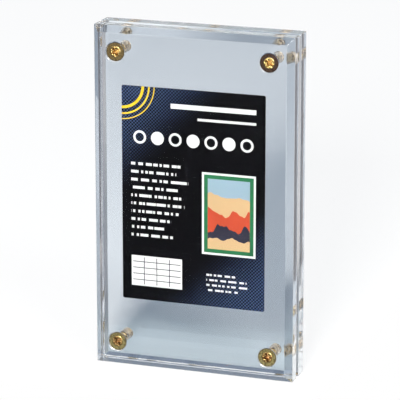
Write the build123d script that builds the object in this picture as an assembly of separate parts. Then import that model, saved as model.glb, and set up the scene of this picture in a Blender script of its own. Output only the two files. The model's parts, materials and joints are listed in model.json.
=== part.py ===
import os
from math import radians, tan

from build123d import *

# Trading card display case: two clear plates clamped face to face on a card
# by four flat-head screws, one near each corner.
# Millimetres. +X is to the right, +Y to the back and +Z up.
# The origin is on the table, under the middle of the case.

# Plates
plate_width = 88.9
plate_height = 149.5
front_plate_thickness = 9.525
back_plate_thickness = 9.525
face_bevel = 2.8            # broad 45 degree bevel round the face of the front plate
edge_chamfer = 1.3          # small chamfer on the edges beside the joint between the plates
back_chamfer = 1.5          # small chamfer round the back face

# Printed insert card
card_width = 64.2
card_height = 94.3
card_thickness = 0.35
card_corner = 0.8
card_side_shift = -1.4      # the card lies a little left of the middle
card_rise = 1.4             # and a little above it
card_clearance = 0.03       # between the card and each plate

# Flat-head screws, number 8 with 32 threads to the inch
screw_side_inset = 10.5     # from the axis to the side of the plates
screw_end_inset = 10.8      # from the axis to the top or bottom of the plates
thread_diameter = 4.17
head_diameter = 8.1
head_rim = 0.25             # straight rim above the cone
head_rim_chamfer = 0.12
head_cone_angle = 82.0
head_sink = 0.15            # the head lies this far below the face
tip_inset = 0.25            # the tip stops this far short of the back face
tip_chamfer = 0.5

# Cross recess in the head
recess_span = 4.1
recess_core_diameter = 2.2
recess_wing = 0.95
recess_depth = 1.9
recess_slope = 26.0         # of the wing ends, off the screw axis
recess_core_slope = 16.0    # of the middle cone's wall, off the screw axis
recess_turn = {             # of each cross about its screw's axis, as tightened, in degrees
    ("top", "left"): 30.0,
    ("top", "right"): 55.0,
    ("bottom", "left"): 38.0,
    ("bottom", "right"): 12.0,
}

# Holes
shank_clearance = 0.20      # radial, where the screw passes through the front plate
seat_clearance = 0.05       # radial, between the head's cone and its countersink
thread_clearance = 0.05     # radial, in the tapped hole
hole_chamfer = 0.35         # at both mouths of the tapped hole

# Worked out from the above
plate_gap = card_thickness + 2 * card_clearance
case_depth = front_plate_thickness + plate_gap + back_plate_thickness
front_face_y = -case_depth / 2
joint_front_y = front_face_y + front_plate_thickness
joint_back_y = joint_front_y + plate_gap
screw_length = case_depth - head_sink - tip_inset
cone_slope = tan(radians(head_cone_angle / 2))
sides = {"left": -1, "right": 1}
ends = {"bottom": -1, "top": 1}


def screw_plane(side, end, depth):
    # Plane across one screw axis, facing out of the front of the case.
    x = sides[side] * (plate_width / 2 - screw_side_inset)
    z = plate_height / 2 + ends[end] * (plate_height / 2 - screw_end_inset)
    return Plane(origin=(x, front_face_y + depth, z), x_dir=(1, 0, 0), z_dir=(0, -1, 0))


def turned(outline):
    # Solid of revolution from an outline of (radius, height) points.
    profile = make_face(Plane.XZ * Polyline(*outline, close=True))
    return revolve(profile, axis=Axis.Z)


def screw_places():
    return [(side, end) for end in ends for side in sides]


def blank_plate(thickness):
    # Plate standing on the table, its front at Y = 0.
    return Box(plate_width, thickness, plate_height, align=(Align.CENTER, Align.MIN, Align.MIN))


def countersunk_hole():
    # Cutter for a clearance hole whose cone follows the screw head. Its mouth is at Z = 0.
    bore = thread_diameter / 2 + shank_clearance
    seat = head_diameter / 2 + seat_clearance
    rim_depth = head_sink + head_rim
    mouth = seat + rim_depth * cone_slope
    throat = (mouth - bore) / cone_slope
    end = front_plate_thickness + plate_gap
    return turned([(0, 0), (mouth, 0), (bore, -throat), (bore, -end), (0, -end)])


def tapped_hole():
    # Cutter for a tapped hole right through the back plate. Its front mouth is at Z = 0.
    bore = thread_diameter / 2 + thread_clearance
    mouth = bore + hole_chamfer
    end = back_plate_thickness
    return turned(
        [
            (0, 0),
            (mouth, 0),
            (bore, -hole_chamfer),
            (bore, hole_chamfer - end),
            (mouth, -end),
            (0, -end),
        ]
    )


def front_plate():
    plate = blank_plate(front_plate_thickness)
    face_edges = plate.faces().sort_by(Axis.Y)[0].edges()
    plate = chamfer(face_edges, face_bevel)
    joint_edges = plate.faces().sort_by(Axis.Y)[-1].edges()
    plate = chamfer(joint_edges, edge_chamfer)
    plate = Pos(0, front_face_y, 0) * plate
    for side, end in screw_places():
        plate -= screw_plane(side, end, 0).location * countersunk_hole()
    return plate


def back_plate():
    plate = blank_plate(back_plate_thickness)
    joint_edges = plate.faces().sort_by(Axis.Y)[0].edges()
    plate = chamfer(joint_edges, edge_chamfer)
    back_edges = plate.faces().sort_by(Axis.Y)[-1].edges()
    plate = chamfer(back_edges, back_chamfer)
    plate = Pos(0, joint_back_y, 0) * plate
    for side, end in screw_places():
        plate -= screw_plane(side, end, joint_back_y - front_face_y).location * tapped_hole()
    return plate


def insert_card():
    outline = RectangleRounded(card_width, card_height, card_corner)
    middle = plate_height / 2 + card_rise
    back_y = joint_back_y - card_clearance
    face = Plane(origin=(card_side_shift, back_y, middle), x_dir=(1, 0, 0), z_dir=(0, -1, 0))
    return extrude(face * outline, card_thickness)


def cross_recess():
    # Cutter for the cross recess: two crossed wings that narrow with depth, and a middle cone.
    top = recess_span / 2
    foot = top - recess_depth * tan(radians(recess_slope))
    core = recess_core_diameter / 2
    core_foot = core - recess_depth * tan(radians(recess_core_slope))
    wing_outline = Polyline((-top, 0), (top, 0), (foot, -recess_depth), (-foot, -recess_depth), close=True)
    wing = extrude(make_face(Plane.XZ * wing_outline), recess_wing / 2, both=True)
    middle = turned([(0, 0), (core, 0), (core_foot, -recess_depth), (0, -recess_depth)])
    return wing + Rot(0, 0, 90) * wing + middle


def screw():
    # Screw with its head's top at Z = 0 and its tip down.
    head = head_diameter / 2
    shank = thread_diameter / 2
    cone_foot = head_rim + (head - shank) / cone_slope
    blank = turned(
        [
            (0, 0),
            (head - head_rim_chamfer, 0),
            (head, -head_rim_chamfer),
            (head, -head_rim),
            (shank, -cone_foot),
            (shank, tip_chamfer - screw_length),
            (shank - tip_chamfer, -screw_length),
            (0, -screw_length),
        ]
    )
    return blank - cross_recess()


def main():
    pieces = {
        "front_plate": front_plate(),
        "back_plate": back_plate(),
        "insert_card": insert_card(),
    }
    for side, end in screw_places():
        place = screw_plane(side, end, head_sink).location
        pieces[f"screw_{end}_{side}"] = place * Rot(0, 0, recess_turn[end, side]) * screw()
    os.makedirs("parts", exist_ok=True)
    for name, piece in pieces.items():
        export_step(piece, f"parts/{name}.step")


main()
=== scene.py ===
import json
import math

import bmesh
import bpy
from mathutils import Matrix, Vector

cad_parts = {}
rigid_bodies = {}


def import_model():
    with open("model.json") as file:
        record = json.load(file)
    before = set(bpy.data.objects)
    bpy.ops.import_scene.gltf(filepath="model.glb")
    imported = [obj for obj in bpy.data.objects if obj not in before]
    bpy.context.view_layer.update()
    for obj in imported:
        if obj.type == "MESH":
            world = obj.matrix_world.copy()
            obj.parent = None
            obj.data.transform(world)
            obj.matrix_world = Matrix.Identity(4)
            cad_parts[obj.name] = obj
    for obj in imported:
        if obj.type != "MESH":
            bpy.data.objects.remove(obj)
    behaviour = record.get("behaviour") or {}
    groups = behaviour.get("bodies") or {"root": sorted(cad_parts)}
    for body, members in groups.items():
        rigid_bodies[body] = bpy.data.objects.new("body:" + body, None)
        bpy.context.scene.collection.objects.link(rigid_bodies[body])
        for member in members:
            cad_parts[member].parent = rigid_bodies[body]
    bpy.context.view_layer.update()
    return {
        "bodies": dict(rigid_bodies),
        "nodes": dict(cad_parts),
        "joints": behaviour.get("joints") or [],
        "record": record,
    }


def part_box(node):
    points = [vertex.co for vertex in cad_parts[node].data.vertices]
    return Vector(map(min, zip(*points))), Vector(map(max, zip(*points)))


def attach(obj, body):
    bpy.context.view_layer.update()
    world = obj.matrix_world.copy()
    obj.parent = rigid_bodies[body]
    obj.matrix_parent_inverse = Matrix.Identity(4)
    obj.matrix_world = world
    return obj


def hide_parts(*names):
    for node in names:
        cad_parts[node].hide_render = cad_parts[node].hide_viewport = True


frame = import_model()
scene = bpy.context.scene
mm = 0.001

# Display case for one card: two clear plates, a printed card between them and four brass screws.
# Metres, with +X to the right, +Y to the back and +Z up.

# Helpers for meshes


def meshObject(name, bm):
    mesh = bpy.data.meshes.new(name)
    bm.to_mesh(mesh)
    bm.free()
    piece = bpy.data.objects.new(name, mesh)
    scene.collection.objects.link(piece)
    return piece


def joinLoops(bm, near, far):
    # Band of faces between two closed loops with the same number of points.
    faces = []
    for i in range(len(near)):
        j = (i + 1) % len(near)
        faces.append(bm.faces.new((near[i], near[j], far[j], far[i])))
    return faces


def loopEdges(bm, loop):
    return [bm.edges.get((loop[i], loop[(i + 1) % len(loop)])) for i in range(len(loop))]


# Helpers for materials. A value is a number, a vector, a colour or the output of another node.


def emptyMaterial(name):
    material = bpy.data.materials.new(name)
    material.use_nodes = True
    material.node_tree.nodes.clear()
    return material, material.node_tree


def feed(tree, socket, value):
    if isinstance(value, bpy.types.NodeSocket):
        tree.links.new(value, socket)
    elif socket.type == "RGBA":
        socket.default_value = (*value, 1.0)
    else:
        socket.default_value = value


def mathNode(tree, operation, *values):
    node = tree.nodes.new("ShaderNodeMath")
    node.operation = operation
    for socket, value in zip(node.inputs, values):
        feed(tree, socket, value)
    return node.outputs[0]


def add(tree, first, second):
    return mathNode(tree, "ADD", first, second)


def subtract(tree, first, second):
    return mathNode(tree, "SUBTRACT", first, second)


def multiply(tree, first, *others):
    for other in others:
        first = mathNode(tree, "MULTIPLY", first, other)
    return first


def vectorNode(tree, operation, *values):
    node = tree.nodes.new("ShaderNodeVectorMath")
    node.operation = operation
    for socket, value in zip(node.inputs, values):
        feed(tree, socket, value)
    return node.outputs["Value" if operation in ("DOT_PRODUCT", "LENGTH") else "Vector"]


def ramp(tree, value, start, end, low=0.0, high=1.0):
    # Eases from low to high while the value goes from start to end.
    node = tree.nodes.new("ShaderNodeMapRange")
    node.interpolation_type = "SMOOTHSTEP"
    feed(tree, node.inputs["Value"], value)
    feed(tree, node.inputs["From Min"], start)
    feed(tree, node.inputs["From Max"], end)
    feed(tree, node.inputs["To Min"], low)
    feed(tree, node.inputs["To Max"], high)
    return node.outputs["Result"]


def objectPlace(tree):
    return tree.nodes.new("ShaderNodeTexCoord").outputs["Object"]


def splitVector(tree, vector):
    node = tree.nodes.new("ShaderNodeSeparateXYZ")
    tree.links.new(vector, node.inputs[0])
    return node.outputs


def noiseNode(tree, place, size, detail=2.0, dimensions="3D"):
    node = tree.nodes.new("ShaderNodeTexNoise")
    node.noise_dimensions = dimensions
    feed(tree, node.inputs["W" if dimensions == "1D" else "Vector"], place)
    feed(tree, node.inputs["Scale"], 1.0 / size)
    feed(tree, node.inputs["Detail"], detail)
    return node.outputs[0]


def bumpNode(tree, height, distance=1.0):
    node = tree.nodes.new("ShaderNodeBump")
    feed(tree, node.inputs["Height"], height)
    feed(tree, node.inputs["Distance"], distance)
    return node.outputs[0]


def mixColours(tree, share, first, second):
    node = tree.nodes.new("ShaderNodeMix")
    node.data_type = "RGBA"
    feed(tree, node.inputs["Factor"], share)
    feed(tree, node.inputs["A"], first)
    feed(tree, node.inputs["B"], second)
    return node.outputs["Result"]


def shaderNode(tree, kind, settings):
    node = tree.nodes.new(kind)
    for name, value in settings.items():
        feed(tree, node.inputs[name], value)
    return node.outputs[0]


def mixShaders(tree, share, first, second):
    node = tree.nodes.new("ShaderNodeMixShader")
    for socket, value in zip(node.inputs, (share, first, second)):
        feed(tree, socket, value)
    return node.outputs[0]


def setSurface(tree, shader, kind="ShaderNodeOutputMaterial"):
    out = tree.nodes.new(kind)
    tree.links.new(shader, out.inputs["Surface"])


# Camera

cameraSetup = {
    "place": (361.6 * mm, -1036.0 * mm, 374.5 * mm),
    "turn": 19.218,  # degrees to the left of straight back
    "tilt": 15.281,  # degrees down
    "lens": 240.43,  # in millimetres, as the sensor's width
    "sensor": 36.0,
    "near": 0.05,
    "far": 20.0,
}


def addCamera(setup):
    data = bpy.data.cameras.new("camera")
    data.lens = setup["lens"]
    data.sensor_width = setup["sensor"]
    data.clip_start = setup["near"]
    data.clip_end = setup["far"]
    camera = bpy.data.objects.new("camera", data)
    camera.location = setup["place"]
    camera.rotation_euler = (math.radians(90 - setup["tilt"]), 0.0, math.radians(setup["turn"]))
    scene.collection.objects.link(camera)
    scene.camera = camera


# Paper floor

floorSetup = {
    "low": (-2.20, -0.05),  # two corners of the paper, which ends just in front and to the right of the case
    "high": (0.06, 2.20),
    "drop": 0.05 * mm,  # how far it lies under the case
    "fade": 0.06,  # the paper turns plain white over this width at its rim
    "colour": (0.88, 0.90, 0.92),
    "shadowSeen": 0.14,  # share of the lit paper in what the camera sees, the rest is white
    "paintedGlow": (0.80, 0.95, 1.0),  # painted light: a glow on the paper close behind the case, standing in for light that the clear plates let through
    "paintedGlowShare": 0.36,
    "paintedGlowWidth": (0.045, 0.060),  # to both sides, where it fades
    "paintedGlowDepth": (0.035, 0.085),  # and to the back
}


def addFloor(setup):
    low, high = setup["low"], setup["high"]
    bm = bmesh.new()
    corners = ((low[0], low[1]), (high[0], low[1]), (high[0], high[1]), (low[0], high[1]))
    bm.faces.new([bm.verts.new((x, y, 0.0)) for x, y in corners])
    floor = meshObject("floor", bm)
    floor.location = (0.0, 0.0, -setup["drop"])

    material, tree = emptyMaterial("palePaperFloor")
    toCamera = tree.nodes.new("ShaderNodeLightPath").outputs["Is Camera Ray"]
    place = splitVector(tree, objectPlace(tree))
    white = multiply(tree, toCamera, 1.0 - setup["shadowSeen"])
    for axis in (0, 1):
        middle = (low[axis] + high[axis]) / 2
        half = (high[axis] - low[axis]) / 2
        across = mathNode(tree, "ABSOLUTE", subtract(tree, place[axis], middle))
        rim = ramp(tree, across, half - setup["fade"], half)
        white = mathNode(tree, "MAXIMUM", white, multiply(tree, rim, toCamera))
    # Painted light: for all rays but the camera's, the paper close behind the case glows.
    beside = ramp(tree, mathNode(tree, "ABSOLUTE", place["X"]), *setup["paintedGlowWidth"], 1.0, 0.0)
    behind = ramp(tree, place["Y"], *setup["paintedGlowDepth"], 1.0, 0.0)
    paintedGlow = multiply(tree, subtract(tree, setup["paintedGlowShare"], toCamera), beside, behind)
    paintedGlow = mathNode(tree, "MAXIMUM", paintedGlow, 0.0)
    paper = shaderNode(tree, "ShaderNodeBsdfDiffuse", {"Color": setup["colour"]})
    paper = mixShaders(tree, paintedGlow, paper, shaderNode(tree, "ShaderNodeEmission", {"Color": setup["paintedGlow"]}))
    setSurface(tree, mixShaders(tree, white, paper, shaderNode(tree, "ShaderNodeEmission", {})))
    floor.data.materials.append(material)


# Studio. An edge lies between two shares that a direction has to the right, to the back or up.

studioSetup = {
    "white": (1.0, 1.0, 1.0),
    "ceilingEdge": (0.30, 0.65),  # up: above it all is white
    "room": (0.62, 0.64, 0.67),
    "backEdge": (-0.15, 0.05),  # to the back: where the walls in front of the case end
    "leftWall": (0.28, 0.23, 0.21),
    "leftWallEdge": (-0.80, -0.70),  # to the right
    "backdrop": (0.58, 0.68, 0.80),
    "backdropEnd": (24.0, 27.5),  # its right end, in degrees to the left of straight back
    "gap": (0.12, 0.17, 0.26),  # dark gap between the backdrop and the grey cloth
    "gapEnd": (0.0, 10.0),  # also in degrees
    "gapStrip": (0.182, 0.208),  # up: between these the gap is lit
    "gapStripBlur": 0.003,
    "cloth": (0.36, 0.42, 0.51),  # grey cloth to the right of the gap
    "clothEdge": (0.60, 0.68),  # to the right: where the cloth ends
    "blackCard": (0.02, 0.02, 0.02),  # low in front, mirrored by the faces
    "blackCardAim": (-0.331, -0.909, -0.262),
    "blackCardRim": (17.0, 11.0),  # in degrees off its aim
    "softFront": (1.45, 1.47, 1.50),  # what lights the matte surfaces, low in front
    "softBack": (0.12, 0.16, 0.21),
    "softBackEdge": (-0.5, 0.2),
    "softTop": (0.21, 0.28, 0.36),
    "softTopEdge": (0.25, 0.60),
    "softSides": (3.2, 2.9, 2.6),  # to both sides, near the level of the case
    "softSidesHeight": (0.08, 0.25),  # up or down
    "softSidesDepth": (0.35, 0.55),  # to the back or front
}


def mirroredStudio(tree, setup, direction, light):
    # What clear and metal surfaces mirror and bend: walls, backdrop, cloth and cards.
    up = splitVector(tree, direction)["Z"]
    level = vectorNode(tree, "NORMALIZE", vectorNode(tree, "MULTIPLY", direction, (1.0, 1.0, 0.0)))
    level = splitVector(tree, level)
    low, high = setup["gapStrip"]
    blur = setup["gapStripBlur"]
    strip = multiply(tree, ramp(tree, up, low, low + blur), ramp(tree, up, high - blur, high, 1.0, 0.0))
    gap = mixShaders(tree, strip, light("gap"), light("room"))
    behind = light("cloth")
    for end, beyond in (("gapEnd", gap), ("backdropEnd", light("backdrop"))):
        first, last = [-math.sin(math.radians(turn)) for turn in setup[end]]
        behind = mixShaders(tree, ramp(tree, level["X"], last, first, 1.0, 0.0), behind, beyond)
    behind = mixShaders(tree, ramp(tree, level["X"], *setup["clothEdge"]), behind, light("room"))
    atLeft = ramp(tree, level["X"], *setup["leftWallEdge"], 1.0, 0.0)
    inFront = mixShaders(tree, atLeft, light("room"), light("leftWall"))
    walls = mixShaders(tree, ramp(tree, level["Y"], *setup["backEdge"]), inFront, behind)
    walls = mixShaders(tree, ramp(tree, up, *setup["ceilingEdge"]), walls, light("white"))
    aim = vectorNode(tree, "DOT_PRODUCT", direction, setup["blackCardAim"])
    rim = [math.cos(math.radians(spread)) for spread in setup["blackCardRim"]]
    return mixShaders(tree, ramp(tree, aim, *rim), walls, light("blackCard"))


def softStudio(tree, setup, direction, light):
    # What lights matte surfaces.
    place = splitVector(tree, direction)
    soft = ramp(tree, place["Y"], *setup["softBackEdge"])
    soft = mixShaders(tree, soft, light("softFront"), light("softBack"))
    soft = mixShaders(tree, ramp(tree, place["Z"], *setup["softTopEdge"]), soft, light("softTop"))
    flat = ramp(tree, mathNode(tree, "ABSOLUTE", place["Z"]), *setup["softSidesHeight"], 1.0, 0.0)
    side = ramp(tree, mathNode(tree, "ABSOLUTE", place["Y"]), *setup["softSidesDepth"], 1.0, 0.0)
    return mixShaders(tree, multiply(tree, flat, side), soft, light("softSides"))


def addStudio(setup):
    world = bpy.data.worlds.new("studio")
    world.use_nodes = True
    world.cycles.sampling_method = "NONE"
    tree = world.node_tree
    tree.nodes.clear()

    def light(name):
        return shaderNode(tree, "ShaderNodeBackground", {"Color": setup[name]})

    direction = tree.nodes.new("ShaderNodeTexCoord").outputs["Generated"]
    path = tree.nodes.new("ShaderNodeLightPath").outputs
    mirrored = mirroredStudio(tree, setup, direction, light)
    sharp = mixShaders(tree, path["Is Camera Ray"], mirrored, light("white"))
    scattered = mathNode(tree, "GREATER_THAN", path["Diffuse Depth"], 0.5)
    soft = softStudio(tree, setup, direction, light)
    setSurface(tree, mixShaders(tree, scattered, sharp, soft), "ShaderNodeOutputWorld")
    scene.world = world


# Two soft lamps in front, both to the right

lampAim = (0.0, 0.0, 70 * mm)
lampSetup = {
    "keyLamp": {"place": (0.32, -2.28, 0.88), "size": 0.44, "power": 124.0, "colour": (1.0, 0.95, 0.88)},
    "sideLamp": {"place": (1.50, -1.50, 1.80), "size": 0.70, "power": 30.0, "colour": (1.0, 0.98, 0.95)},
}


def addLamps(setup):
    for name, look in setup.items():
        data = bpy.data.lights.new(name, "AREA")
        data.shape = "SQUARE"
        data.size = look["size"]
        data.energy = look["power"]
        data.color = look["colour"]
        lamp = bpy.data.objects.new(name, data)
        lamp.location = look["place"]
        aim = Vector(lampAim) - Vector(look["place"])
        lamp.rotation_euler = aim.to_track_quat("-Z", "Y").to_euler()
        scene.collection.objects.link(lamp)


# Thread and countersink, shared by the screws and their holes

threadSizes = {
    "pitch": 0.79375 * mm,
    "flat": 0.12,  # share of half a pitch that is flat at the root, and again at the crest
    "rowsPerTurn": 8,
    "segments": 64,
    "coneAngle": 82.0,  # of the heads and their seats
}
coneSlope = math.tan(math.radians(threadSizes["coneAngle"] / 2))


def threadHeight(y, angle):
    # 0 at the root and 1 at the crest of a right-hand thread.
    phase = (y / threadSizes["pitch"] - angle / (2 * math.pi)) % 1.0
    wave = 1.0 - abs(2.0 * phase - 1.0)
    flat = threadSizes["flat"]
    return min(1.0, max(0.0, (wave - flat) / (1.0 - 2.0 * flat)))


def threadLevels(start, end):
    # Where the rings of a threaded stretch lie along its axis.
    step = threadSizes["pitch"] / threadSizes["rowsPerTurn"]
    count = int((end - start) / step)
    return [start + (end - start) * i / count for i in range(count + 1)]


def threadLoop(bm, y, root, depth, axis=(0.0, 0.0)):
    # Loop of points round an axis, as far out as the thread's root and up to its depth more.
    loop = []
    for i in range(threadSizes["segments"]):
        angle = 2 * math.pi * i / threadSizes["segments"]
        radius = root + depth * threadHeight(y, angle)
        x, z = radius * math.cos(angle), radius * math.sin(angle)
        loop.append(bm.verts.new((axis[0] + x, y, axis[1] + z)))
    return loop


# Clear plates. The finish of each chamfer is given for the upright sides, and for the top and bottom.

frontPlateSetup = {
    "pieceName": "frontPlateClear",
    "finishes": ("clearAcrylic", "seatAcrylic", "drilledAcrylic", "shadedBevelAcrylic", "shadedEdgeAcrylic"),
    "frontChamfer": 2.8 * mm,  # broad bevel round the face
    "frontChamferFinish": ("shadedBevelAcrylic", "shadedBevelAcrylic"),
    "backChamfer": 1.3 * mm,
    "backChamferFinish": ("shadedEdgeAcrylic", "clearAcrylic"),
    "edgeFlat": 0.12 * mm,  # every sharp edge is broken by a flat of about this width
}
backPlateSetup = {
    "pieceName": "backPlateClear",
    "finishes": ("clearAcrylic", "tappedAcrylic", "shadedEdgeAcrylic"),
    "frontChamfer": 1.3 * mm,
    "frontChamferFinish": ("shadedEdgeAcrylic", "clearAcrylic"),
    "backChamfer": 1.5 * mm,
    "backChamferFinish": ("shadedEdgeAcrylic", "clearAcrylic"),
    "edgeFlat": 0.12 * mm,
}
holeSizes = {
    "sideInset": 10.5 * mm,  # from the axes to the sides of the plates
    "endInset": 10.8 * mm,  # and to their top and bottom
    "seatRadius": 4.4477 * mm,  # of the countersink at the face
    "clearRadius": 2.285 * mm,  # through the front plate
    "tapRadius": 2.135 * mm,  # through the back plate
    "tapChamfer": 0.35 * mm,
    "tapDepth": 0.3 * mm,
}


def screwAxes():
    low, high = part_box("front_plate")
    side = high.x - holeSizes["sideInset"]
    bottom = low.z + holeSizes["endInset"]
    top = high.z - holeSizes["endInset"]
    return {
        "screw_bottom_left": (-side, bottom),
        "screw_bottom_right": (side, bottom),
        "screw_top_left": (-side, top),
        "screw_top_right": (side, top),
    }


# Each ring of a hole gives its level, root radius, thread depth and the finish of the wall behind it.


def clearHoleRings(low, high):
    seat, bore = holeSizes["seatRadius"], holeSizes["clearRadius"]
    throat = (seat - bore) / coneSlope
    return [
        (low.y, seat, 0.0, "seatAcrylic"),
        (low.y + throat, bore, 0.0, "drilledAcrylic"),
        (high.y, bore, 0.0, "drilledAcrylic"),
    ]


def tappedHoleRings(low, high):
    bore, chamfer = holeSizes["tapRadius"], holeSizes["tapChamfer"]
    start, end = low.y + chamfer, high.y - chamfer
    rings = [(low.y, bore + chamfer, 0.0, "tappedAcrylic")]
    for y in threadLevels(start, end):
        fade = min(1.0, (y - start) / threadSizes["pitch"], (end - y) / threadSizes["pitch"])
        rings.append((y, bore, holeSizes["tapDepth"] * fade, "tappedAcrylic"))
    rings.append((high.y, bore + chamfer, 0.0, "tappedAcrylic"))
    return rings


def holeWall(bm, axis, rings, finishes):
    loops = [threadLoop(bm, y, root, depth, axis) for y, root, depth, _ in rings]
    for ring, near, far in zip(rings, loops, loops[1:]):
        for face in joinLoops(bm, near, far):
            face.smooth = True
            face.material_index = finishes.index(ring[-1])
    return loops[0], loops[-1]


def plateProfile(low, high, setup):
    # Depth, inset, and the finish behind them, from the front face to the back one.
    front, back, flat = setup["frontChamfer"], setup["backChamfer"], setup["edgeFlat"]
    lean = flat / math.sqrt(2)
    clear = ("clearAcrylic", "clearAcrylic")
    return [
        (low.y, front + flat, clear),
        (low.y + lean, front - lean, setup["frontChamferFinish"]),
        (low.y + front - lean, lean, clear),
        (low.y + front + flat, 0.0, clear),
        (high.y - back - flat, 0.0, clear),
        (high.y - back + lean, lean, setup["backChamferFinish"]),
        (high.y - lean, back - lean, clear),
        (high.y, back + flat, clear),
    ]


def plateOutline(low, high, inset, flat):
    # From the bottom left corner round by the right: a corner, a side and so on.
    left, right = low.x + inset, high.x - inset
    bottom, top = low.z + inset, high.z - inset
    return [
        (left, bottom + flat),
        (left + flat, bottom),
        (right - flat, bottom),
        (right, bottom + flat),
        (right, top - flat),
        (right - flat, top),
        (left + flat, top),
        (left, top - flat),
    ]


uprightSides = (3, 7)  # the right and left ones in that outline


def makePlate(node, setup, holeRings, acrylics):
    low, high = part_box(node)
    finishes = setup["finishes"]
    profile = plateProfile(low, high, setup)
    bm = bmesh.new()
    loops = []
    for y, inset, finish in profile:
        outline = plateOutline(low, high, inset, setup["edgeFlat"])
        loops.append([bm.verts.new((x, y, z)) for x, z in outline])
    for ring, near, far in zip(profile, loops, loops[1:]):
        upright, level = ring[-1]
        for i, face in enumerate(joinLoops(bm, near, far)):
            face.material_index = finishes.index(upright if i in uprightSides else level)
    front, back = loopEdges(bm, loops[0]), loopEdges(bm, loops[-1])
    for axis in screwAxes().values():
        first, last = holeWall(bm, axis, holeRings(low, high), finishes)
        front += loopEdges(bm, first)
        back += loopEdges(bm, last)
    bmesh.ops.triangle_fill(bm, edges=front, use_beauty=True, normal=(0, -1, 0))
    bmesh.ops.triangle_fill(bm, edges=back, use_beauty=True, normal=(0, 1, 0))
    bmesh.ops.recalc_face_normals(bm, faces=bm.faces)
    plate = meshObject(setup["pieceName"], bm)
    for finish in finishes:
        plate.data.materials.append(acrylics[finish])
    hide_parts(node)
    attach(plate, node)


acrylicFinish = {
    "colour": (0.92, 0.935, 0.95),
    "ior": 1.49,
    "waveSize": 16.0 * mm,  # cast sheet is never quite flat
    "waveHeight": 0.012 * mm,
    "scratchSize": 0.35 * mm,  # fine hairlines from wiping, along the height
    "scratchStretch": 0.03,
    "scratchEdge": (0.62, 0.70),  # more noise than this is a hairline
    "scratchDepth": 0.0012 * mm,
    "smudgeSize": 12.0 * mm,
    "smudgeEdge": (0.50, 0.75),
    "roughness": (0.0, 0.05),  # clean, and smudged
}
shadedBevelFinish = {**acrylicFinish, "colour": (0.43, 0.47, 0.52)}  # painted shade: a darker and bluer copy of the clear acrylic, for the broad bevel
shadedEdgeFinish = {**acrylicFinish, "colour": (0.44, 0.39, 0.37)}  # painted shade: a darker and warmer copy of the clear acrylic, for small chamfers on the upright sides
seatFinish = {
    "colour": (0.90, 0.86, 0.80),
    "ior": 1.49,
    "roughness": 0.22,
    "markSize": 0.35 * mm,  # tool marks
    "markHeight": 0.02 * mm,
}
drilledFinish = {
    "mirror": (0.98, 0.88, 0.76),  # painted reflection: light cream where the frosted wall mirrors
    "light": (0.90, 0.74, 0.45),  # and the three tones of a painted view of the brass where it is looked through, with painted light and shade
    "middle": (0.62, 0.42, 0.13),
    "dark": (0.10, 0.06, 0.03),
    "lightEdge": (0.50, 0.56),
    "darkEdge": (0.43, 0.48),
    "patch": 1.2 * mm,
    "metal": 0.7,
    "brassRoughness": 0.4,
    "clearTo": (0.36, 0.52),  # how steeply the wall is looked at, from clear, with the painted brass view, to frosted, with the painted cream reflection
    "roughness": 0.30,
    "markSize": 0.35 * mm,
    "markHeight": 0.03 * mm,
}
tappedFinish = {
    **drilledFinish,
    # painted reflection and painted brass view, as for the drilled wall
    "mirror": (1.0, 0.94, 0.87),
    "light": (0.98, 0.86, 0.62),
    "middle": (0.78, 0.52, 0.22),
    "dark": (0.05, 0.02, 0.01),
    "patch": 1.3 * mm,
    "clearTo": (0.18, 0.28),
    "deep": (0.96, 0.84, 0.74),  # painted reflection in a pinker cream, near the tip of the screw
    "deepEdge": (6.0 * mm, 8.5 * mm),  # behind the middle of the case
    "markHeight": 0.02 * mm,
}


def clearAcrylic(name, look):
    material, tree = emptyMaterial(name)
    place = objectPlace(tree)
    smudge = noiseNode(tree, place, look["smudgeSize"], 4.0)
    wave = multiply(tree, noiseNode(tree, place, look["waveSize"], 1.0), look["waveHeight"])
    upright = vectorNode(tree, "MULTIPLY", place, (1.0, 1.0, look["scratchStretch"]))
    scratch = ramp(tree, noiseNode(tree, upright, look["scratchSize"]), *look["scratchEdge"])
    height = subtract(tree, wave, multiply(tree, scratch, look["scratchDepth"]))
    shader = {
        "Base Color": look["colour"],
        "Transmission Weight": 1.0,
        "IOR": look["ior"],
        "Roughness": ramp(tree, smudge, *look["smudgeEdge"], *look["roughness"]),
        "Normal": bumpNode(tree, height),
    }
    setSurface(tree, shaderNode(tree, "ShaderNodeBsdfPrincipled", shader))
    return material


def seatAcrylic(name, look):
    # Countersink, turned with a sharp tool.
    material, tree = emptyMaterial(name)
    marks = noiseNode(tree, objectPlace(tree), look["markSize"])
    shader = {
        "Base Color": look["colour"],
        "Transmission Weight": 1.0,
        "IOR": look["ior"],
        "Roughness": look["roughness"],
        "Normal": bumpNode(tree, marks, look["markHeight"]),
    }
    setSurface(tree, shaderNode(tree, "ShaderNodeBsdfPrincipled", shader))
    return material


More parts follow.
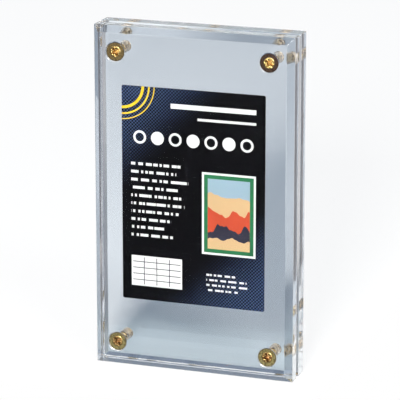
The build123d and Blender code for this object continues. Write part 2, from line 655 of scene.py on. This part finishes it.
def boredAcrylic(name, look):
    # Frosted wall of a hole, drawn with painted light: a painted cream reflection at a low angle, and a
    # painted view of the brass of its screw otherwise.
    material, tree = emptyMaterial(name)
    place = objectPlace(tree)
    bump = bumpNode(tree, noiseNode(tree, place, look["markSize"]), look["markHeight"])
    patches = noiseNode(tree, place, look["patch"])
    paintedBrassTones = mixColours(tree, ramp(tree, patches, *look["lightEdge"]), look["middle"], look["light"])
    paintedBrassTones = mixColours(tree, ramp(tree, patches, *look["darkEdge"]), look["dark"], paintedBrassTones)
    cream = look["mirror"]
    if "deep" in look:
        deep = ramp(tree, splitVector(tree, place)["Y"], *look["deepEdge"])
        cream = mixColours(tree, deep, cream, look["deep"])
    paintedBrassShader = {
        "Base Color": paintedBrassTones,
        "Metallic": look["metal"],
        "Roughness": look["brassRoughness"],
        "Normal": bump,
    }
    paintedBrassView = shaderNode(tree, "ShaderNodeBsdfPrincipled", paintedBrassShader)
    frostShader = {"Base Color": cream, "Roughness": look["roughness"], "Normal": bump}
    frosted = shaderNode(tree, "ShaderNodeBsdfPrincipled", frostShader)
    slant = tree.nodes.new("ShaderNodeLayerWeight").outputs["Facing"]
    setSurface(tree, mixShaders(tree, ramp(tree, slant, *look["clearTo"]), paintedBrassView, frosted))
    return material


def makeAcrylics():
    return {
        "clearAcrylic": clearAcrylic("clearAcrylic", acrylicFinish),
        "seatAcrylic": seatAcrylic("seatAcrylic", seatFinish),
        "drilledAcrylic": boredAcrylic("drilledAcrylic", drilledFinish),
        "tappedAcrylic": boredAcrylic("tappedAcrylic", tappedFinish),
        "shadedBevelAcrylic": clearAcrylic("shadedBevelAcrylic", shadedBevelFinish),
        "shadedEdgeAcrylic": clearAcrylic("shadedEdgeAcrylic", shadedEdgeFinish),
    }


# Insert card

cardSizes = {"corner": 0.8 * mm, "cornerSteps": 6}


def cardOutline(half):
    corner, steps = cardSizes["corner"], cardSizes["cornerSteps"]
    outline = []
    for sideX, sideZ, startAngle in ((1, 1, 0), (-1, 1, 90), (-1, -1, 180), (1, -1, 270)):
        for i in range(steps + 1):
            angle = math.radians(startAngle + 90 * i / steps)
            x = sideX * (half.x - corner) + corner * math.cos(angle)
            z = sideZ * (half.z - corner) + corner * math.sin(angle)
            outline.append((x, z))
    return outline


def makeCard(printed, board):
    low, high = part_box("insert_card")
    half = (high - low) / 2
    outline = cardOutline(half)
    bm = bmesh.new()
    front = [bm.verts.new((x, -half.y, z)) for x, z in outline]
    back = [bm.verts.new((x, half.y, z)) for x, z in outline]
    bm.faces.new(front)
    for face in [bm.faces.new(back), *joinLoops(bm, front, back)]:
        face.material_index = 1
    bmesh.ops.recalc_face_normals(bm, faces=bm.faces)
    card = meshObject("insertCardPrinted", bm)
    card.location = (low + high) / 2
    card.data.materials.append(printed)
    card.data.materials.append(board)
    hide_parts("insert_card")
    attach(card, "insert_card")


# Places on the print are in millimetres from the middle of the card. A box is left, right, bottom, top.

cardPrint = {
    "ground": (0.0015, 0.0015, 0.003),
    "weave": (0.050, 0.085, 0.190),
    "white": (0.86, 0.86, 0.84),
    "yellow": (0.80, 0.56, 0.03),
    "green": (0.02, 0.16, 0.06),
    "sky": (0.30, 0.42, 0.50),
    "clay": (0.50, 0.07, 0.03),
    "sand": (0.62, 0.42, 0.22),
    "shade": (0.03, 0.03, 0.05),
    "weaveRate": 4.2,  # radians to the millimetre
    "weaveEdge": (-0.10, 0.25),  # of the product of two sines, between ground and thread
    "weaveFade": (30.0, 70.0),  # off the rising diagonal
    "arcMiddle": (-32.1, 47.15),
    "arcs": ((9.0, 10.2), (12.0, 12.7), (14.5, 14.9)),
    "rules": ((-10.0, 28.0, 38.5, 40.6), (2.0, 28.0, 34.0, 35.1)),
    "discRow": (-28.0, 28.0, 21.0, 29.0),
    "discStep": 8.0,
    "discRadius": 2.9,
    "ringHole": 1.9,
    "dashRows": (
        {"box": (-28.0, -2.0, -20.0, 15.0), "step": 3.5, "thickness": 0.34, "seed": 0.0},
        {"box": (6.0, 28.0, -41.0, -32.0), "step": 2.25, "thickness": 0.38, "seed": 3.0},
    ),
    "dashSize": 1.7,
    "dashEdge": (0.42, 0.46),
    "dashShift": (7.3, 13.0),  # only set the rows apart
    "dashRagged": 0.45,  # share of a row's length by which its right end may fall short
    "table": (-28.0, -5.0, -41.0, -27.5),
    "tableMargin": 0.7,
    "tableCell": (5.75, 2.7),
    "tableLine": (0.12, 0.22),
    "picture": (4.0, 28.0, -24.0, 12.0),
    "pictureRim": 0.9,
    "pictureFrame": 2.6,
    "hills": (  # level, width, height, place along the noise, ink
        (2.0, 9.0, 9.0, 6.0, "sand"),
        (-5.0, 7.0, 10.0, 102.0, "clay"),
        (-12.0, 6.0, 9.0, 194.0, "shade"),
        (-17.0, 8.0, 5.0, 44.0, "sand"),
    ),
    "softness": 0.06,  # of the ink's edges
    "gloss": 0.12,
    "grainSize": 0.25 * mm,
    "grainEdge": (0.3, 0.7),
    "grainHeight": 0.004 * mm,
    "roughness": (0.32, 0.44),
}


def bandMask(tree, value, low, high, soft):
    across = mathNode(tree, "ABSOLUTE", subtract(tree, value, (low + high) / 2))
    half = (high - low) / 2
    return ramp(tree, across, half - soft, half + soft, 1.0, 0.0)


def boxMask(tree, x, z, box, soft):
    left, right, bottom, top = box
    return multiply(tree, bandMask(tree, x, left, right, soft), bandMask(tree, z, bottom, top, soft))


def insetBox(box, margin):
    left, right, bottom, top = box
    return (left + margin, right - margin, bottom + margin, top - margin)


def weaveMask(tree, x, z, look):
    # Fine weave that fades out of the top left and bottom right corners.
    away = mathNode(tree, "ABSOLUTE", subtract(tree, z, x))
    rate = look["weaveRate"]
    across, along = [mathNode(tree, "SINE", multiply(tree, value, rate)) for value in (x, z)]
    threads = ramp(tree, multiply(tree, across, along), *look["weaveEdge"])
    return multiply(tree, threads, ramp(tree, away, *look["weaveFade"]))


def distance(tree, across, up):
    squares = add(tree, multiply(tree, across, across), multiply(tree, up, up))
    return mathNode(tree, "SQRT", squares)


def arcMasks(tree, x, z, look):
    # Arcs round the top left corner.
    middleX, middleZ = look["arcMiddle"]
    radius = distance(tree, subtract(tree, x, middleX), subtract(tree, z, middleZ))
    return [bandMask(tree, radius, low, high, look["softness"]) for low, high in look["arcs"]]


def discRowMask(tree, x, z, look):
    # Row of rings and discs in turn.
    left, _, bottom, top = look["discRow"]
    soft = look["softness"]
    cells = mathNode(tree, "DIVIDE", subtract(tree, x, left), look["discStep"])
    across = multiply(tree, subtract(tree, mathNode(tree, "FRACT", cells), 0.5), look["discStep"])
    radius = distance(tree, across, subtract(tree, z, (bottom + top) / 2))
    disc = ramp(tree, radius, look["discRadius"] - soft, look["discRadius"] + soft, 1.0, 0.0)
    hollow = ramp(tree, radius, look["ringHole"] - soft, look["ringHole"] + soft)
    filled = mathNode(tree, "MODULO", mathNode(tree, "FLOOR", cells), 2.0)
    inRing = mathNode(tree, "MAXIMUM", hollow, filled)
    return multiply(tree, disc, inRing, boxMask(tree, x, z, look["discRow"], soft))


def dashMask(tree, x, z, rows, look):
    # Rows of short dashes of uneven length, ragged at their right ends.
    left, right, bottom, _ = rows["box"]
    soft = look["softness"]
    level = mathNode(tree, "DIVIDE", subtract(tree, z, bottom), rows["step"])
    half = rows["thickness"] / 2
    inRow = bandMask(tree, mathNode(tree, "FRACT", level), 0.5 - half, 0.5 + half, soft / rows["step"])
    rowShift, noiseShift = look["dashShift"]
    shift = mathNode(tree, "MULTIPLY_ADD", mathNode(tree, "FLOOR", level), rowShift, rows["seed"])
    along = add(tree, x, multiply(tree, shift, noiseShift))
    dash = ramp(tree, noiseNode(tree, along, look["dashSize"], 0.0, "1D"), *look["dashEdge"])
    chance = tree.nodes.new("ShaderNodeTexWhiteNoise")
    chance.noise_dimensions = "1D"
    tree.links.new(shift, chance.inputs["W"])
    short = multiply(tree, chance.outputs["Value"], (right - left) * look["dashRagged"])
    inside = ramp(tree, add(tree, x, short), right - soft, right + soft, 1.0, 0.0)
    return multiply(tree, boxMask(tree, x, z, rows["box"], soft), inRow, dash, inside)


def tableMask(tree, x, z, look):
    # Lines between the cells of the table.
    left, _, bottom, _ = look["table"]
    thin, thick = look["tableLine"]
    lines = []
    for value, start, cell in ((x, left, look["tableCell"][0]), (z, bottom, look["tableCell"][1])):
        part = mathNode(tree, "FRACT", mathNode(tree, "DIVIDE", subtract(tree, value, start), cell))
        off = mathNode(tree, "ABSOLUTE", subtract(tree, part, 0.5))
        lines.append(ramp(tree, off, 0.5 - thick / cell, 0.5 - thin / cell))
    inner = insetBox(look["table"], look["tableMargin"])
    return multiply(tree, mathNode(tree, "MAXIMUM", *lines), boxMask(tree, x, z, inner, look["softness"]))


def hillMask(tree, x, z, level, width, height, shift, soft):
    # All that lies under the crest of a hill.
    noise = noiseNode(tree, add(tree, x, shift), width, 2.0, "1D")
    crest = multiply(tree, subtract(tree, noise, 0.5), height)
    return ramp(tree, subtract(tree, subtract(tree, z, crest), level), -soft, soft, 1.0, 0.0)


def printLayers(tree, x, z, look):
    # Masks and inks, in the order in which they are printed.
    soft = look["softness"]
    layers = [(weaveMask(tree, x, z, look), "weave")]
    layers += [(mask, "yellow") for mask in arcMasks(tree, x, z, look)]
    layers.append((discRowMask(tree, x, z, look), "white"))
    layers += [(boxMask(tree, x, z, box, soft), "white") for box in look["rules"]]
    layers += [(dashMask(tree, x, z, rows, look), "white") for rows in look["dashRows"]]
    layers.append((boxMask(tree, x, z, look["table"], soft), "white"))
    layers.append((tableMask(tree, x, z, look), "shade"))
    layers.append((boxMask(tree, x, z, look["picture"], soft), "white"))
    frame = insetBox(look["picture"], look["pictureRim"])
    layers.append((boxMask(tree, x, z, frame, soft), "green"))
    inView = boxMask(tree, x, z, insetBox(look["picture"], look["pictureFrame"]), soft)
    layers.append((inView, "sky"))
    for *hill, ink in look["hills"]:
        layers.append((multiply(tree, hillMask(tree, x, z, *hill, soft), inView), ink))
    return layers


def printedCard(look):
    material, tree = emptyMaterial("printedCard")
    place = objectPlace(tree)
    inMillimetres = splitVector(tree, vectorNode(tree, "MULTIPLY", place, (1 / mm, 1 / mm, 1 / mm)))
    colour = look["ground"]
    for mask, ink in printLayers(tree, inMillimetres["X"], inMillimetres["Z"], look):
        colour = mixColours(tree, mask, colour, look[ink])
    grain = noiseNode(tree, place, look["grainSize"], 3.0)
    shader = {
        "Base Color": colour,
        "Specular IOR Level": look["gloss"],
        "Roughness": ramp(tree, grain, *look["grainEdge"], *look["roughness"]),
        "Normal": bumpNode(tree, grain, look["grainHeight"]),
    }
    setSurface(tree, shaderNode(tree, "ShaderNodeBsdfPrincipled", shader))
    return material


boardFinish = {
    "pale": (0.60, 0.58, 0.54),
    "dark": (0.47, 0.45, 0.41),
    "fibreSize": 0.6 * mm,
    "fibreStretch": 0.35,
    "fibreHeight": 0.02 * mm,
    "cloudSize": 12 * mm,
    "cloudEdge": (0.35, 0.65),
    "roughness": 0.8,
}


def cardBoard(look):
    # Bare board at the card's back and edges.
    material, tree = emptyMaterial("cardBoard")
    place = objectPlace(tree)
    stretched = vectorNode(tree, "MULTIPLY", place, (1.0, 1.0, look["fibreStretch"]))
    fibre = noiseNode(tree, stretched, look["fibreSize"], 4.0)
    cloud = noiseNode(tree, place, look["cloudSize"])
    share = ramp(tree, multiply(tree, add(tree, fibre, cloud), 0.5), *look["cloudEdge"])
    shader = {
        "Base Color": mixColours(tree, share, look["dark"], look["pale"]),
        "Roughness": look["roughness"],
        "Normal": bumpNode(tree, fibre, look["fibreHeight"]),
    }
    setSurface(tree, shaderNode(tree, "ShaderNodeBsdfPrincipled", shader))
    return material


# Screws. Their levels are measured down from the top of the head.

screwSizes = {
    "headRadius": 4.05 * mm,
    "rim": 0.25 * mm,
    "rimChamfer": 0.12 * mm,
    "shankRadius": 2.085 * mm,
    "plainShank": 2.2 * mm,  # below the cone
    "threadDepth": 0.42 * mm,
    "threadFade": 1.5,  # turns in which the thread reaches its depth
    "tipChamfer": 0.5 * mm,
    "recessSpan": 4.1 * mm,
    "recessCore": 2.2 * mm,
    "recessWing": 0.95 * mm,
    "recessDepth": 1.9 * mm,
    "recessSlope": 26.0,  # degrees off the axis, at the wings' ends
    "recessCoreSlope": 16.0,
    "recessAbove": 0.2 * mm,  # how far its cutter stands over the head
    "edgeRound": 0.05 * mm,
    "edgeAngle": 50.0,  # degrees, edges sharper than this are rounded
}


def screwRings(length):
    # Level, root radius and thread depth.
    head, shank, rim = screwSizes["headRadius"], screwSizes["shankRadius"], screwSizes["rim"]
    coneFoot = rim + (head - shank) / coneSlope
    start = coneFoot + screwSizes["plainShank"]
    rings = [
        (0.0, head - screwSizes["rimChamfer"], 0.0),
        (screwSizes["rimChamfer"], head, 0.0),
        (rim, head, 0.0),
        (coneFoot, shank, 0.0),
    ]
    for y in threadLevels(start, length - screwSizes["tipChamfer"]):
        fade = min(1.0, (y - start) / (screwSizes["threadFade"] * threadSizes["pitch"]))
        depth = screwSizes["threadDepth"] * fade
        rings.append((y, shank - depth, depth))
    rings.append((length, shank - screwSizes["tipChamfer"], 0.0))
    return rings


def closeForm(bm, loops, smooth):
    # Joins the loops and closes both ends.
    for near, far in zip(loops, loops[1:]):
        for face in joinLoops(bm, near, far):
            face.smooth = smooth
    bm.faces.new(loops[0])
    bm.faces.new(list(reversed(loops[-1])))
    bmesh.ops.recalc_face_normals(bm, faces=bm.faces)


def screwBlank(length):
    bm = bmesh.new()
    closeForm(bm, [threadLoop(bm, y, root, depth) for y, root, depth in screwRings(length)], True)
    return meshObject("screwBlank", bm)


def recessOutline(depth):
    # Cross with a thicker middle. Both narrow with the depth.
    reach = screwSizes["recessSpan"] / 2 - depth * math.tan(math.radians(screwSizes["recessSlope"]))
    half = screwSizes["recessWing"] / 2
    core = screwSizes["recessCore"] / 2 - depth * math.tan(math.radians(screwSizes["recessCoreSlope"]))
    apart = 1.02  # keeps neighbouring points from meeting
    notch = max(core / math.sqrt(2), half * apart)
    quarter = [(reach, -half), (reach, half), (notch * apart, half), (notch, notch), (half, notch * apart)]
    outline = []
    for turn in (0, 90, 180, 270):
        cosine, sine = math.cos(math.radians(turn)), math.sin(math.radians(turn))
        outline += [(x * cosine - z * sine, x * sine + z * cosine) for x, z in quarter]
    return outline


def recessCutter():
    bm = bmesh.new()
    loops = []
    for depth in (-screwSizes["recessAbove"], screwSizes["recessDepth"]):
        loops.append([bm.verts.new((x, depth, z)) for x, z in recessOutline(depth)])
    closeForm(bm, loops, False)
    return meshObject("recessCutter", bm)


def makeScrewMesh(length):
    blank = screwBlank(length)
    cutter = recessCutter()
    cut = blank.modifiers.new("recess", "BOOLEAN")
    cut.operation = "DIFFERENCE"
    cut.solver = "EXACT"
    cut.object = cutter
    edges = blank.modifiers.new("edges", "BEVEL")
    edges.width = screwSizes["edgeRound"]
    edges.segments = 2
    edges.limit_method = "ANGLE"
    edges.angle_limit = math.radians(screwSizes["edgeAngle"])
    graph = bpy.context.evaluated_depsgraph_get()
    mesh = bpy.data.meshes.new_from_object(blank.evaluated_get(graph))
    for helper in (blank, cutter):
        bpy.data.objects.remove(helper)
    return mesh


brassFinish = {
    "clean": (0.34, 0.28, 0.12),
    "dull": (0.06, 0.045, 0.02),
    "tarnishSize": 0.85 * mm,
    "tarnishEdge": (0.44, 0.58),
    "tarnishShare": 0.85,
    # painted shadow: darker brass round the rim of the head, where the gap round it is in shade
    "edge": (0.10, 0.08, 0.05),
    "rimShadowBand": (3.65 * mm, 3.95 * mm),
    "middle": (0.86, 0.68, 0.26),  # painted highlight: brighter brass over the middle of the head, and the threads, mottled by the pits
    # painted shade in the pits of the middle
    "pitShade": (0.10, 0.06, 0.02),
    "middleBand": (2.05 * mm, 2.55 * mm),
    "pitSize": 0.62 * mm,
    "pitEdge": (0.47, 0.52),
    "pitHeight": 0.45 * mm,
    # painted shade: darker brass in the cross recess, which also covers the shank and threads below it
    "recess": (0.44, 0.28, 0.10),
    "recessShadeBand": (0.25 * mm, 1.0 * mm),  # levels under the head's top
    "grainSize": 0.75 * mm,
    "grainHeight": 0.10 * mm,
    "ringPitch": 0.16 * mm,  # turning marks
    "ringHeight": 0.0015 * mm,
    "roughness": (0.28, 0.46),
}


def brass(name, look):
    material, tree = emptyMaterial(name)
    place = objectPlace(tree)
    radius = vectorNode(tree, "LENGTH", vectorNode(tree, "MULTIPLY", place, (1.0, 0.0, 1.0)))
    middle = ramp(tree, radius, *look["middleBand"], 1.0, 0.0)
    tarnish = ramp(tree, noiseNode(tree, place, look["tarnishSize"], 3.0), *look["tarnishEdge"])
    pits = noiseNode(tree, place, look["pitSize"])
    recessShadeDepth = ramp(tree, splitVector(tree, place)["Y"], *look["recessShadeBand"])

    colour = mixColours(tree, multiply(tree, tarnish, look["tarnishShare"]), look["clean"], look["dull"])
    # Painted shadow round the rim of the head.
    colour = mixColours(tree, ramp(tree, radius, *look["rimShadowBand"]), colour, look["edge"])
    # Painted highlight over the middle of the head, with painted shade in its pits.
    paintedGlints = mixColours(tree, ramp(tree, pits, *look["pitEdge"]), look["pitShade"], look["middle"])
    colour = mixColours(tree, middle, colour, paintedGlints)
    # Painted shade in the cross recess, down onto the shank.
    colour = mixColours(tree, multiply(tree, recessShadeDepth, middle), colour, look["recess"])

    grain = multiply(tree, noiseNode(tree, place, look["grainSize"], 3.0), look["grainHeight"])
    rings = mathNode(tree, "SINE", multiply(tree, radius, 2 * math.pi / look["ringPitch"]))
    height = add(tree, grain, multiply(tree, rings, look["ringHeight"]))
    height = add(tree, height, multiply(tree, pits, look["pitHeight"], middle))
    shader = {
        "Base Color": colour,
        "Metallic": 1.0,
        "Roughness": ramp(tree, tarnish, 0.0, 1.0, *look["roughness"]),
        "Normal": bumpNode(tree, height),
    }
    setSurface(tree, shaderNode(tree, "ShaderNodeBsdfPrincipled", shader))
    return material


screwSetup = {  # how far each cross is turned, in degrees, and the painted light and shade on its head
    "screw_top_left": {
        "pieceName": "screwTopLeftBrass",
        "turn": 30.0,
        "paintedLightAndShade": {"clean": (0.38, 0.28, 0.13), "middle": (0.58, 0.42, 0.16)},
    },
    "screw_top_right": {
        "pieceName": "screwTopRightBrass",
        "turn": 55.0,
        "paintedLightAndShade": {"clean": (0.13, 0.085, 0.06), "dull": (0.03, 0.02, 0.02), "edge": (0.05, 0.03, 0.03)},
    },
    "screw_bottom_left": {
        "pieceName": "screwBottomLeftBrass",
        "turn": 38.0,
        "paintedLightAndShade": {"middle": (0.28, 0.18, 0.07), "recess": (0.30, 0.17, 0.07)},
    },
    "screw_bottom_right": {
        "pieceName": "screwBottomRightBrass",
        "turn": 12.0,
        "paintedLightAndShade": {"middle": (0.28, 0.18, 0.07), "recess": (0.34, 0.19, 0.08)},
    },
}


def makeScrews(setup):
    low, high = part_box("screw_top_left")
    screwMesh = makeScrewMesh(high.y - low.y)
    for node, (x, z) in screwAxes().items():
        pieceName = setup[node]["pieceName"]
        mesh = screwMesh.copy()
        mesh.materials.clear()
        # Each screw gets its own copy of the brass, made brighter or darker by painted light and shade.
        mesh.materials.append(brass(pieceName + "Finish", {**brassFinish, **setup[node]["paintedLightAndShade"]}))
        screw = bpy.data.objects.new(pieceName, mesh)
        scene.collection.objects.link(screw)
        screw.location = (x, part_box(node)[0].y, z)
        screw.rotation_euler = (0.0, -math.radians(setup[node]["turn"]), 0.0)
        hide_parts(node)
        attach(screw, node)
    bpy.data.meshes.remove(screwMesh)


print("stage")
addCamera(cameraSetup)
addFloor(floorSetup)
addStudio(studioSetup)
addLamps(lampSetup)
scene.view_settings.view_transform = "Standard"
lightBounces = 40  # light passes many clear faces
scene.cycles.max_bounces = lightBounces
scene.cycles.transmission_bounces = lightBounces
scene.cycles.glossy_bounces = lightBounces

print("plates")
acrylics = makeAcrylics()
makePlate("front_plate", frontPlateSetup, clearHoleRings, acrylics)
makePlate("back_plate", backPlateSetup, tappedHoleRings, acrylics)

print("card")
makeCard(printedCard(cardPrint), cardBoard(boardFinish))

print("screws")
makeScrews(screwSetup)
